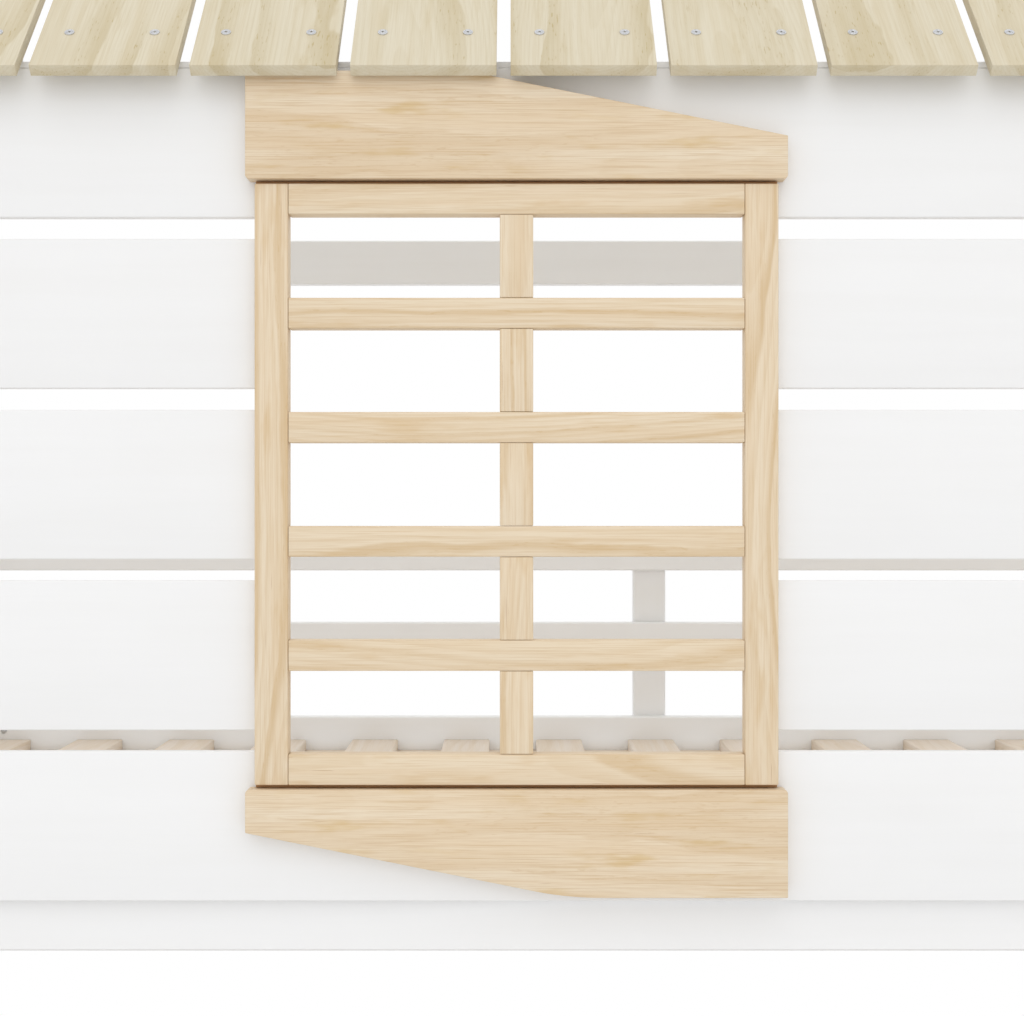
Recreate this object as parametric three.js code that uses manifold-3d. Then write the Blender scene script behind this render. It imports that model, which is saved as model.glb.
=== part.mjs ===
// House bunk bed with a boarded front wall, a lattice window and a slatted roof.
// Millimetres, +Z up. X runs along the bed, Y from the window wall at the front to the back.
// The origin is on the floor, below the middle of the whole bed.

import * as THREE from "three";
import { mergeVertices } from "three/addons/utils/BufferGeometryUtils.js";
import Module from "manifold-3d";

const wasm = await Module();
wasm.setup();

// Posts and rails
const innerLength = 2050; // between the corner posts
const innerWidth = 1000; // between the side rails
const postSize = 60;
const postRounding = 3;
const railThickness = 22;
const railRounding = 2;
const bedRailHeight = 97;
const lowerBedLevel = 130; // floor to the underside of the lower bed rails
const upperBedLevel = 932; // floor to the underside of the upper bed rails
const guardHeight = 65;
const guardGap = 80;
const guardCount = 2;
const guardStayWidth = 50;
const topRailHeight = 67;
const topRailDrop = 27; // from the roof line at the posts down to the back and end top rails
const eavePlateDrop = 17; // from the same line down to the plate behind the top board

// Bed slats and the ledgers that carry them
const bedSlatWidth = 70;
const bedSlatCount = 15;
const bedSlatThickness = 18;
const bedSlatDrop = 34.5; // top of the rail to the top of the slats
const ledgerThickness = 22;
const ledgerHeight = 30;
const slatEndGap = 3; // between the posts and the first slat, and the ends of the ledgers

// Boards of the front wall
const boardGap = 20;
const boardCount = 5;
const boardTopDrop = 9; // from the top of the eave plate down to the top board
const boardThickness = 12;
const boardRounding = 1.5;
const railReveal = 50; // bed rail left bare below the lowest board
const entryWidth = 460;
const entryStileWidth = 60;

// Lattice window
const windowCentre = -208.5; // along the bed, from its middle
const windowWidth = 486;
const windowRows = 5;
const windowBarWidth = 31; // the stiles and the middle bar
const windowRailHeight = 28.4;
const windowCellHeight = 77.5;
const windowThickness = 21;
const windowInlet = 6; // how deep the frame is let into the boards
const windowRounding = 1;
const boardSetback = 8; // from the inner edges of the frame back to the boards behind it

// Trim board above the window, and the same board turned over below it
const trimSideReach = 8; // past each side of the window frame
const trimFullHeight = 99.7;
const trimEndHeight = 39.7;
const trimTaperLength = 298;
const trimBlendRadius = 280;
const trimThickness = 20;
const trimRounding = 1.2;
const trimGap = 3.8; // between the trim and the window frame
const trimEaveGap = 1; // from the top corner of the header up to the roof line

// Roof
const roofPitch = THREE.MathUtils.degToRad(45);
const eaveLevel = 1788; // floor to the roof line at the outer face of the posts
const roofSlatGap = 13;
const roofSideOverhang = 11; // past the ends of the bed
const roofSlatThickness = 11;
const roofSlatRounding = 0.8;
const roofSlatCount = 15;
const roofSlatOverhang = 57.8; // down the slope, past the outer face of the posts
const ridgeThickness = 44;
const ridgeHeight = 110;
const eaveBlockInset = 12; // from the edges of the slat above it
const eaveBlockLap = 6; // in front of the eave plate

// Ladder
const ladderWidth = 400;
const ladderSideGap = 35; // between the end of the boards and the ladder
const ladderStileThickness = 25;
const ladderStileDepth = 48;
const ladderHandhold = 211; // above the upper bed rail
const treadThickness = 24;
const treadRounding = 4;
const treadCount = 4;

// Joints: stub tenons, housings, and bolts that pull into barrel nuts
const fit = 0.3; // clearance left between pieces that touch
const tenonThicknessShare = 1 / 3;
const tenonWidthShare = 0.7;
const railTenonLength = 12;
const windowTenonLength = 10;
const middleBarTenonLength = 4;
const housingDepth = 2;
const boltRadius = 3.5;
const boltHeadRadius = 8;
const boltHeadDepth = 8;
const boltPastNut = 6;
const barrelNutRadius = 5;
const barrelNutInset = 31; // from the end of a rail
const barrelNutDepth = 16;
const sideBoltInset = 21; // from the edge of a side rail to its bolt
const endBoltInset = 36; // the bolts of the end rails pass between those of the side rails
const overrun = 5; // how far a cut runs past what it cuts

// Facets
const cornerSteps = 1;
const blendSteps = 6;
const headSides = 10;
const channelSides = 6;

// Sizes that follow from those above
const halfLength = innerLength / 2;
const halfWidth = innerWidth / 2;
const outerX = halfLength + postSize;
const outerY = halfWidth + railThickness;
const postInnerY = outerY - postSize;
const guardPitch = guardHeight + guardGap;
const guardStart = upperBedLevel + bedRailHeight + guardGap;
const guardTop = guardStart + (guardCount - 1) * guardPitch + guardHeight;
const topRailLevel = eaveLevel - topRailDrop - topRailHeight;
const eavePlateTop = eaveLevel - eavePlateDrop;
const eavePlateLevel = eavePlateTop - topRailHeight;
const bedSlatPitch = (innerLength - 2 * slatEndGap - bedSlatWidth) / (bedSlatCount - 1);
const boardStart = upperBedLevel + railReveal;
const wallHeight = eavePlateTop - boardTopDrop - boardStart;
const boardHeight = (wallHeight - (boardCount - 1) * boardGap) / boardCount;
const boardPitch = boardHeight + boardGap;
const wallFace = outerY + fit + boardThickness;
const entryLeft = halfLength - entryWidth;
const windowHeight = (windowRows + 1) * windowRailHeight + windowRows * windowCellHeight;
const trimLength = windowWidth + 2 * trimSideReach;
const trimFace = wallFace + fit + trimThickness;
const ridgeLevel = eaveLevel + outerY * Math.tan(roofPitch);
const headerTop = roofLine(trimFace) - trimEaveGap;
const windowLevel = headerTop - trimFullHeight - trimGap - windowHeight;
const roofWidth = 2 * (outerX + roofSideOverhang);
const roofSlatWidth = (roofWidth - (roofSlatCount - 1) * roofSlatGap) / roofSlatCount;
const roofSlatPitch = roofSlatWidth + roofSlatGap;
const eaveBlockWidth = roofSlatWidth - 2 * eaveBlockInset;
const slopeLength = outerY / Math.cos(roofPitch);
const mitreFall = postSize * Math.tan(roofPitch / 2);
const eaveReach =
  outerY +
  roofSlatOverhang * Math.cos(roofPitch) +
  (fit + roofSlatThickness) * Math.sin(roofPitch);
const backReach = outerY + fit + railThickness;

// Finishes
function finish(color, roughness) {
  return new THREE.MeshStandardMaterial({ color, roughness, metalness: 0 });
}
const whitePaint = () => finish(0xf3f2f1, 0.45);
const warmPine = () => finish(0xe3d0b4, 0.55);
const palePine = () => finish(0xddd2b9, 0.6);
const barePine = () => finish(0xe0cdb0, 0.65);

// Geometry helpers
const unit = {
  x: new THREE.Vector3(1, 0, 0),
  y: new THREE.Vector3(0, 1, 0),
  z: new THREE.Vector3(0, 0, 1),
};
const profileAxes = { x: ["y", "z"], y: ["z", "x"], z: ["x", "y"] };

// The stretch from near to far on one side of the middle, lowest value first.
function onSide(side, near, far) {
  return side < 0 ? [-far, -near] : [near, far];
}

function lengthOf([low, high]) {
  return high - low;
}

function middleOf([low, high]) {
  return (low + high) / 2;
}

function grown(box, margin) {
  const wider = {};
  for (const axis of ["x", "y", "z"]) {
    wider[axis] = [box[axis][0] - margin, box[axis][1] + margin];
  }
  return wider;
}

function solidOf(geometry) {
  geometry.deleteAttribute("normal");
  geometry.deleteAttribute("uv");
  const merged = mergeVertices(geometry);
  return new wasm.Manifold(
    new wasm.Mesh({
      numProp: 3,
      vertProperties: new Float32Array(merged.attributes.position.array),
      triVerts: new Uint32Array(merged.index.array),
    }),
  );
}

function block(box) {
  const geometry = new THREE.BoxGeometry(lengthOf(box.x), lengthOf(box.y), lengthOf(box.z));
  geometry.translate(middleOf(box.x), middleOf(box.y), middleOf(box.z));
  return solidOf(geometry);
}

// Cross-section of a board, its corners cut off at 45 degrees
function easedRectangle(width, height, ease) {
  const shape = new THREE.Shape();
  shape.moveTo(ease, 0);
  shape.lineTo(width - ease, 0);
  shape.lineTo(width, ease);
  shape.lineTo(width, height - ease);
  shape.lineTo(width - ease, height);
  shape.lineTo(ease, height);
  shape.lineTo(0, height - ease);
  shape.lineTo(0, ease);
  return shape;
}

// Cross-section of a window bar, its corners rounded
function roundedRectangle(width, height, radius) {
  const shape = new THREE.Shape();
  shape.moveTo(radius, 0);
  shape.lineTo(width - radius, 0);
  shape.absarc(width - radius, radius, radius, -Math.PI / 2, 0, false);
  shape.lineTo(width, height - radius);
  shape.absarc(width - radius, height - radius, radius, 0, Math.PI / 2, false);
  shape.lineTo(radius, height);
  shape.absarc(radius, height - radius, radius, Math.PI / 2, Math.PI, false);
  shape.lineTo(0, radius);
  shape.absarc(radius, radius, radius, Math.PI, 1.5 * Math.PI, false);
  return shape;
}

// A board that fills a box, with the four edges along its grain eased.
function board(box, grain, rounding, profile = easedRectangle) {
  const [across, up] = profileAxes[grain];
  const shape = profile(lengthOf(box[across]), lengthOf(box[up]), rounding);
  const geometry = new THREE.ExtrudeGeometry(shape, {
    depth: lengthOf(box[grain]),
    bevelEnabled: false,
    curveSegments: cornerSteps,
  });
  const place = new THREE.Matrix4().makeBasis(unit[across], unit[up], unit[grain]);
  place.setPosition(box.x[0], box.y[0], box.z[0]);
  return solidOf(geometry.applyMatrix4(place));
}

// A prism along X whose outline is given as [y, z] points.
function prismAlongX(points, [from, to]) {
  const shape = new THREE.Shape(points.map(([y, z]) => new THREE.Vector2(y, z)));
  const geometry = new THREE.ExtrudeGeometry(shape, { depth: to - from, bevelEnabled: false });
  const place = new THREE.Matrix4().makeBasis(unit.y, unit.z, unit.x);
  place.setPosition(from, 0, 0);
  return solidOf(geometry.applyMatrix4(place));
}

// A round bore along an axis, between two positions on it.
function bore(axis, from, to, centre, radius, sides) {
  const geometry = new THREE.CylinderGeometry(radius, radius, Math.abs(to - from), sides);
  if (axis === "x") geometry.rotateZ(Math.PI / 2);
  if (axis === "z") geometry.rotateX(Math.PI / 2);
  const middle = { ...centre, [axis]: (from + to) / 2 };
  geometry.translate(middle.x, middle.y, middle.z);
  return solidOf(geometry);
}

// A named mesh whose own origin is the middle of the piece.
function piece(name, solid, material) {
  const { vertProperties, triVerts } = solid.getMesh();
  const geometry = new THREE.BufferGeometry();
  geometry.setAttribute("position", new THREE.BufferAttribute(vertProperties, 3));
  geometry.setIndex(new THREE.BufferAttribute(triVerts, 1));
  geometry.computeBoundingBox();
  const centre = geometry.boundingBox.getCenter(new THREE.Vector3());
  geometry.translate(-centre.x, -centre.y, -centre.z);
  const faceted = geometry.toNonIndexed();
  faceted.computeVertexNormals();
  const mesh = new THREE.Mesh(faceted, material);
  mesh.name = name;
  mesh.position.copy(centre);
  return mesh;
}

// The roof line is the plane that the rafters, the ridge and the eave blocks share on top.
function roofLine(y) {
  return ridgeLevel - Math.abs(y) * Math.tan(roofPitch);
}

// Rails. Each one adds the mortises and bolt bores that the posts need for it.
const postCuts = [];

function share(stretch, part) {
  const half = (lengthOf(stretch) * part) / 2;
  return [middleOf(stretch) - half, middleOf(stretch) + half];
}

// Stub tenons for both ends of a bar; the mortises that take them are added to `cuts`.
function tenons(box, grain, reach, cuts) {
  const [across, up] = profileAxes[grain];
  const thin = lengthOf(box[across]) < lengthOf(box[up]) ? across : up;
  const wide = thin === across ? up : across;
  return [-1, 1].map((side) => {
    const end = side < 0 ? box[grain][0] : box[grain][1];
    const tenon = {
      [grain]: side < 0 ? [end - reach, end + overrun] : [end - overrun, end + reach],
      [thin]: share(box[thin], tenonThicknessShare),
      [wide]: share(box[wide], tenonWidthShare),
    };
    cuts.push(block(grown(tenon, fit)));
    return block(tenon);
  });
}

function tenonedRail(box, grain) {
  const body = board(box, grain, railRounding);
  return wasm.Manifold.union([body, ...tenons(box, grain, railTenonLength, postCuts)]);
}

// A bolt comes through the post, along the rail, into a barrel nut let in from the inner face.
function boltedRail(box, grain, boltLevels) {
  let solid = board(box, grain, railRounding);
  const across = grain === "x" ? "y" : "x";
  const inward = -Math.sign(middleOf(box[across]));
  const innerFace = inward < 0 ? box[across][0] : box[across][1];
  const postFace = grain === "x" ? outerX : outerY;
  for (const side of [-1, 1]) {
    const end = side < 0 ? box[grain][0] : box[grain][1];
    const nut = end - side * barrelNutInset;
    for (const level of boltLevels) {
      const line = { x: 0, y: 0, z: level, [across]: middleOf(box[across]) };
      const channelEnd = nut - side * (barrelNutRadius + boltPastNut);
      const outside = side * (postFace + overrun);
      const bolt = bore(grain, channelEnd, outside, line, boltRadius, channelSides);
      const headFloor = side * (postFace - boltHeadDepth);
      postCuts.push(bolt);
      postCuts.push(bore(grain, headFloor, outside, line, boltHeadRadius, headSides));
      const nutFrom = innerFace + inward * overrun;
      const nutTo = innerFace - inward * barrelNutDepth;
      const nutLine = { ...line, [grain]: nut };
      const nutHole = bore(across, nutFrom, nutTo, nutLine, barrelNutRadius, headSides);
      solid = solid.subtract(bolt).subtract(nutHole);
    }
  }
  return solid;
}

function sideRailBox(side, level, height) {
  return {
    x: [fit - halfLength, halfLength - fit],
    y: onSide(side, halfWidth, outerY),
    z: [level, level + height],
  };
}

function endRailBox(side, level, height) {
  return {
    x: onSide(side, outerX - railThickness, outerX),
    y: [fit - postInnerY, postInnerY - fit],
    z: [level, level + height],
  };
}

const depthName = { "-1": "front", 1: "back" };
const endName = { "-1": "left", 1: "right" };

function bedRails() {
  const rails = [];
  for (const [bed, level] of [
    ["lower", lowerBedLevel],
    ["upper", upperBedLevel],
  ]) {
    const top = level + bedRailHeight;
    for (const side of [-1, 1]) {
      const sideBolts = [level + sideBoltInset, top - sideBoltInset];
      const sideBox = sideRailBox(side, level, bedRailHeight);
      let sideRail = boltedRail(sideBox, "x", sideBolts);
      if (side < 0 && bed === "upper") sideRail = sideRail.subtract(entryStileMortise(top));
      rails.push(piece(`${bed}_side_rail_${depthName[side]}`, sideRail, whitePaint()));
      const endBolts = [level + endBoltInset, top - endBoltInset];
      const endRail = boltedRail(endRailBox(side, level, bedRailHeight), "y", endBolts);
      rails.push(piece(`${bed}_end_rail_${endName[side]}`, endRail, whitePaint()));
    }
  }
  return rails;
}

function guardRails() {
  const rails = [];
  for (let row = 0; row < guardCount; row += 1) {
    const level = guardStart + row * guardPitch;
    const place = row === 0 ? "low" : "high";
    const back = tenonedRail(sideRailBox(1, level, guardHeight), "x");
    rails.push(piece(`guard_rail_back_${place}`, back, whitePaint()));
    for (const side of [-1, 1]) {
      const end = tenonedRail(endRailBox(side, level, guardHeight), "y");
      rails.push(piece(`guard_rail_${endName[side]}_${place}`, end, whitePaint()));
    }
  }
  const stay = {
    x: [-guardStayWidth / 2, guardStayWidth / 2],
    y: [outerY + fit, backReach],
    z: [upperBedLevel, guardTop],
  };
  rails.push(piece("guard_stay_back", board(stay, "z", railRounding), whitePaint()));
  return rails;
}

function topRails() {
  const rails = [];
  const top = topRailLevel + topRailHeight;
  const back = boltedRail(sideRailBox(1, topRailLevel, topRailHeight), "x", [top - sideBoltInset]);
  rails.push(piece("top_rail_back", back, whitePaint()));
  for (const side of [-1, 1]) {
    const box = endRailBox(side, topRailLevel, topRailHeight);
    const end = boltedRail(box, "y", [top - endBoltInset]);
    rails.push(piece(`top_rail_${endName[side]}`, end, whitePaint()));
  }
  return rails;
}

// The eave plate carries a bevelled block under each roof slat between the rafters.
function eavePlate() {
  const box = sideRailBox(-1, eavePlateLevel, topRailHeight);
  let solid = boltedRail(box, "x", [eavePlateTop - sideBoltInset]);
  const lip = outerY + eaveBlockLap;
  const outline = [
    [-lip, eavePlateTop],
    [-outerY, eavePlateTop],
    [-outerY, eavePlateTop - housingDepth],
    [-halfWidth, eavePlateTop - housingDepth],
    [-halfWidth, roofLine(halfWidth)],
    [-lip, roofLine(lip)],
  ];
  for (const centre of roofSlatCentres()) {
    if (Math.abs(centre) + eaveBlockWidth / 2 > halfLength) continue;
    const reach = [centre - eaveBlockWidth / 2, centre + eaveBlockWidth / 2];
    solid = solid.add(prismAlongX(outline, reach));
  }
  solid = solid.subtract(entryStileMortise(eavePlateLevel));
  return piece("eave_plate", solid, whitePaint());
}

// The upright at the entry stands between the bed rail and the eave plate, tenoned into both.
function entryStileTenon(level) {
  return {
    x: share([entryLeft - entryStileWidth, entryLeft], tenonWidthShare),
    y: share([-outerY, -halfWidth], tenonThicknessShare),
    z: [level - railTenonLength, level + railTenonLength],
  };
}

function entryStileMortise(level) {
  return block(grown(entryStileTenon(level), fit));
}

function entryStile() {
  const bottom = upperBedLevel + bedRailHeight;
  const box = {
    x: [entryLeft - entryStileWidth, entryLeft],
    y: [-outerY, -halfWidth],
    z: [bottom + fit, eavePlateLevel - fit],
  };
  const solid = board(box, "z", railRounding)
    .add(block(entryStileTenon(bottom)))
    .add(block(entryStileTenon(eavePlateLevel)));
  return piece("entry_stile", solid, whitePaint());
}

// Corner posts, each mitred on top to meet its rafter
function cornerPost(endSide, depthSide) {
  const box = {
    x: onSide(endSide, halfLength, outerX),
    y: onSide(depthSide, postInnerY, outerY),
    z: [0, eaveLevel],
  };
  const outer = depthSide * (outerY + overrun);
  const inner = depthSide * (postInnerY - overrun);
  const fall = (reach) => eaveLevel - fit - (mitreFall * reach) / postSize;
  const above = [
    [outer, fall(-overrun)],
    [outer, eaveLevel + overrun],
    [inner, eaveLevel + overrun],
    [inner, fall(postSize + overrun)],
  ];
  let solid = board(box, "z", postRounding);
  solid = solid.subtract(prismAlongX(above, grown(box, overrun).x));
  for (const cut of postCuts) {
    solid = solid.subtract(cut);
  }
  return piece(`post_${depthName[depthSide]}_${endName[endSide]}`, solid, whitePaint());
}

// Slatted bases: the slats are let into two ledgers that lie against the side rails.
function slatBase(name, railLevel) {
  const slatTop = railLevel + bedRailHeight - bedSlatDrop;
  const slatBottom = slatTop - bedSlatThickness;
  const ledgerTop = slatBottom + housingDepth;
  const reach = halfLength - slatEndGap;
  const parts = [];
  for (const side of [-1, 1]) {
    const ledger = {
      x: [-reach, reach],
      y: onSide(side, halfWidth - fit - ledgerThickness, halfWidth - fit),
      z: [ledgerTop - ledgerHeight, ledgerTop],
    };
    parts.push(board(ledger, "x", railRounding));
  }
  for (let i = 0; i < bedSlatCount; i += 1) {
    const centre = (i - (bedSlatCount - 1) / 2) * bedSlatPitch;
    const slat = {
      x: [centre - bedSlatWidth / 2, centre + bedSlatWidth / 2],
      y: [fit - halfWidth, halfWidth - fit],
      z: [slatBottom, slatTop],
    };
    parts.push(board(slat, "y", railRounding));
  }
  return piece(name, wasm.Manifold.union(parts), barePine());
}

// The space of the window frame, which stands proud of the boards and is let into them
function windowFrame() {
  const face = wallFace + fit + windowThickness - windowInlet;
  return {
    x: [windowCentre - windowWidth / 2, windowCentre + windowWidth / 2],
    y: [-face, windowThickness - face],
    z: [windowLevel, windowLevel + windowHeight],
  };
}

// The boards are cut clear of the opening of the window, and less deeply for its frame.
function windowCuts() {
  const frame = windowFrame();
  const acrossFrame = windowBarWidth - boardSetback;
  const upFrame = windowRailHeight - boardSetback;
  const opening = {
    x: [frame.x[0] + acrossFrame, frame.x[1] - acrossFrame],
    y: [-wallFace - overrun, -halfWidth],
    z: [frame.z[0] + upFrame, frame.z[1] - upFrame],
  };
  return wasm.Manifold.union([block(grown(frame, fit)), block(opening)]);
}

// Boards of the front wall: the top and bottom ones pass the window, the others stop at it.
function wallBoards() {
  const boards = [];
  const cuts = windowCuts();
  const windowHalf = windowWidth / 2 - windowBarWidth + boardSetback;
  for (let row = 0; row < boardCount; row += 1) {
    const level = boardStart + row * boardPitch;
    const isTop = row === boardCount - 1;
    const right = isTop ? outerX : entryLeft;
    const stretches =
      row === 0 || isTop
        ? { "": [-outerX, right] }
        : {
            _left: [-outerX, windowCentre - windowHalf],
            _right: [windowCentre + windowHalf, right],
          };
    for (const [suffix, stretch] of Object.entries(stretches)) {
      const box = {
        x: stretch,
        y: [-wallFace, -outerY - fit],
        z: [level, level + boardHeight],
      };
      const name = `wall_board_${row + 1}${suffix}`;
      const solid = board(box, "x", boardRounding).subtract(cuts);
      boards.push(piece(name, solid, whitePaint()));
    }
  }
  return boards;
}

// The window: two stiles, and a lattice of rails and short middle bars tenoned into them
function windowParts() {
  const { y } = windowFrame();
  const innerHalf = windowWidth / 2 - windowBarWidth;
  const rowPitch = windowRailHeight + windowCellHeight;
  const mortises = [];
  const bars = [];
  for (let row = 0; row <= windowRows; row += 1) {
    const level = windowLevel + row * rowPitch;
    const rail = {
      x: [windowCentre - innerHalf + fit, windowCentre + innerHalf - fit],
      y,
      z: [level, level + windowRailHeight],
    };
    bars.push(board(rail, "x", windowRounding, roundedRectangle));
    bars.push(...tenons(rail, "x", windowTenonLength, mortises));
  }
  for (let row = 0; row < windowRows; row += 1) {
    const level = windowLevel + row * rowPitch + windowRailHeight;
    const bar = {
      x: [windowCentre - windowBarWidth / 2, windowCentre + windowBarWidth / 2],
      y,
      z: [level, level + windowCellHeight],
    };
    bars.push(board(bar, "z", windowRounding, roundedRectangle));
    bars.push(...tenons(bar, "z", middleBarTenonLength, []));
  }
  const parts = [piece("window_lattice", wasm.Manifold.union(bars), warmPine())];
  for (const side of [-1, 1]) {
    const [near, far] = onSide(side, innerHalf, windowWidth / 2);
    const box = {
      x: [windowCentre + near, windowCentre + far],
      y,
      z: [windowLevel, windowLevel + windowHeight],
    };
    let stile = board(box, "z", windowRounding, roundedRectangle);
    for (const cut of mortises) {
      stile = stile.subtract(cut);
    }
    parts.push(piece(`window_stile_${endName[side]}`, stile, warmPine()));
  }
  return parts;
}

// Outline of the trim board: straight below, tall on the left, tapering to a short right end,
// with an arc where the taper leaves the level top.
function trimOutline() {
  const turn = Math.atan((trimFullHeight - trimEndHeight) / trimTaperLength);
  const tangent = trimBlendRadius * Math.tan(turn / 2);
  const knee = trimLength - trimTaperLength;
  const shape = new THREE.Shape();
  shape.moveTo(0, 0);
  shape.lineTo(trimLength, 0);
  shape.lineTo(trimLength, trimEndHeight);
  shape.lineTo(knee + tangent * Math.cos(turn), trimFullHeight - tangent * Math.sin(turn));
  shape.absarc(
    knee - tangent,
    trimFullHeight - trimBlendRadius,
    trimBlendRadius,
    Math.PI / 2 - turn,
    Math.PI / 2,
    false,
  );
  shape.lineTo(0, trimFullHeight);
  return shape;
}

function trimBoards() {
  const boards = [];
  for (const [name, turn] of [
    ["window_header", 0],
    ["window_sill", Math.PI],
  ]) {
    const geometry = new THREE.ExtrudeGeometry(trimOutline(), {
      depth: trimThickness - 2 * trimRounding,
      bevelThickness: trimRounding,
      bevelSize: trimRounding,
      bevelOffset: -trimRounding,
      bevelSegments: cornerSteps,
      curveSegments: blendSteps,
    });
    geometry.rotateX(Math.PI / 2);
    geometry.center();
    const mesh = new THREE.Mesh(geometry, warmPine());
    mesh.name = name;
    const shift = windowHeight / 2 + trimGap + trimFullHeight / 2;
    const level = windowLevel + windowHeight / 2 + (turn === 0 ? shift : -shift);
    mesh.position.set(windowCentre, trimThickness / 2 - trimFace, level);
    mesh.rotation.y = turn;
    boards.push(mesh);
  }
  return boards;
}

// Roof. On a slope, y runs up from the roof line at the outer face of the posts, and z stands
// square to the slope.
function roofSlatCentres() {
  const centres = [];
  for (let i = 0; i < roofSlatCount; i += 1) {
    centres.push((i - (roofSlatCount - 1) / 2) * roofSlatPitch);
  }
  return centres;
}

// A plumb cut across the upper end of a sloping piece, at a distance from the ridge
function plumbCut(distance, halfWidth) {
  const foot = slopeLength - distance / Math.cos(roofPitch);
  const reach = postSize + overrun;
  const lean = reach * Math.tan(roofPitch);
  const outline = [
    [foot - lean, -reach],
    [foot + lean + reach, -reach],
    [foot + lean + reach, reach],
    [foot + lean, reach],
  ];
  return prismAlongX(outline, [-halfWidth, halfWidth]);
}

// The mitre on the foot of a rafter, where it stands on its post
function rafterMitre(halfWidth) {
  const lean = Math.tan(roofPitch / 2);
  const reach = postSize + overrun;
  const outline = [
    [-reach, overrun],
    [-overrun * lean, overrun],
    [reach * lean, -reach],
    [-reach, -reach],
  ];
  return prismAlongX(outline, [-halfWidth, halfWidth]);
}

function rafter(name) {
  const box = {
    x: [-postSize / 2, postSize / 2],
    y: [-postSize, slopeLength],
    z: [-postSize, 0],
  };
  const solid = board(box, "y", postRounding)
    .subtract(plumbCut(ridgeThickness / 2 + fit, postSize))
    .subtract(rafterMitre(postSize));
  return piece(name, solid, whitePaint());
}

function roofSlat(name) {
  const box = {
    x: [-roofSlatWidth / 2, roofSlatWidth / 2],
    y: [-roofSlatOverhang, slopeLength + roofSlatThickness + overrun],
    z: [fit, fit + roofSlatThickness],
  };
  const solid = board(box, "y", roofSlatRounding).subtract(plumbCut(0, roofSlatWidth));
  return piece(name, solid, palePine());
}

function slope(depthSide) {
  const group = new THREE.Group();
  for (const endSide of [-1, 1]) {
    const mesh = rafter(`rafter_${depthName[depthSide]}_${endName[endSide]}`);
    mesh.position.x = -depthSide * endSide * (halfLength + postSize / 2);
    group.add(mesh);
  }
  group.rotation.set(roofPitch, 0, depthSide < 0 ? 0 : Math.PI, "ZYX");
  group.position.set(0, depthSide * outerY, eaveLevel);
  return group;
}

function roofSlats() {
  const slats = [];
  roofSlatCentres().forEach((centre, i) => {
    const number = String(i + 1).padStart(2, "0");
    const mesh = roofSlat(`roof_slat_${number}`);
    mesh.position.x = centre;
    slats.push(mesh);
  });
  return slats;
}

// The ridge is planed to both slopes on top and lies between the rafters.
function ridge() {
  const half = ridgeThickness / 2;
  const outline = [
    [-half, ridgeLevel - ridgeHeight],
    [half, ridgeLevel - ridgeHeight],
    [half, roofLine(half)],
    [0, ridgeLevel],
    [-half, roofLine(half)],
  ];
  return piece("ridge_beam", prismAlongX(outline, [-outerX, outerX]), whitePaint());
}

// The ladder stands on the floor against the bed rails, its treads let into the stiles.
function ladder() {
  const left = entryLeft + ladderSideGap;
  const right = left + ladderWidth;
  const y = [-outerY - fit - ladderStileDepth, -outerY - fit];
  const parts = [];
  for (const x of [
    [left, left + ladderStileThickness],
    [right - ladderStileThickness, right],
  ]) {
    const z = [0, upperBedLevel + bedRailHeight + ladderHandhold];
    parts.push(board({ x, y, z }, "z", treadRounding));
  }
  const rise = (upperBedLevel + bedRailHeight) / (treadCount + 1);
  for (let step = 1; step <= treadCount; step += 1) {
    const tread = {
      x: [
        left + ladderStileThickness - housingDepth,
        right - ladderStileThickness + housingDepth,
      ],
      y,
      z: [step * rise - treadThickness, step * rise],
    };
    parts.push(board(tread, "x", treadRounding));
  }
  return piece("ladder", wasm.Manifold.union(parts), whitePaint());
}

// Assembly. The rails come first, because the posts are cut to take them.
const bed = new THREE.Group();
bed.position.y = (eaveReach - backReach) / 2;
bed.add(...bedRails());
bed.add(...guardRails());
bed.add(...topRails());
bed.add(eavePlate());
bed.add(entryStile());
for (const endSide of [-1, 1]) {
  for (const depthSide of [-1, 1]) {
    bed.add(cornerPost(endSide, depthSide));
  }
}
bed.add(slatBase("upper_slat_base", upperBedLevel));
bed.add(slatBase("lower_slat_base", lowerBedLevel));
bed.add(...wallBoards());
bed.add(...windowParts());
bed.add(...trimBoards());
bed.add(ridge());
const frontSlope = slope(-1);
frontSlope.add(...roofSlats());
bed.add(frontSlope);
bed.add(slope(1));
bed.add(ladder());

const houseBed = new THREE.Group();
houseBed.add(bed);

export default houseBed;
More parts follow.
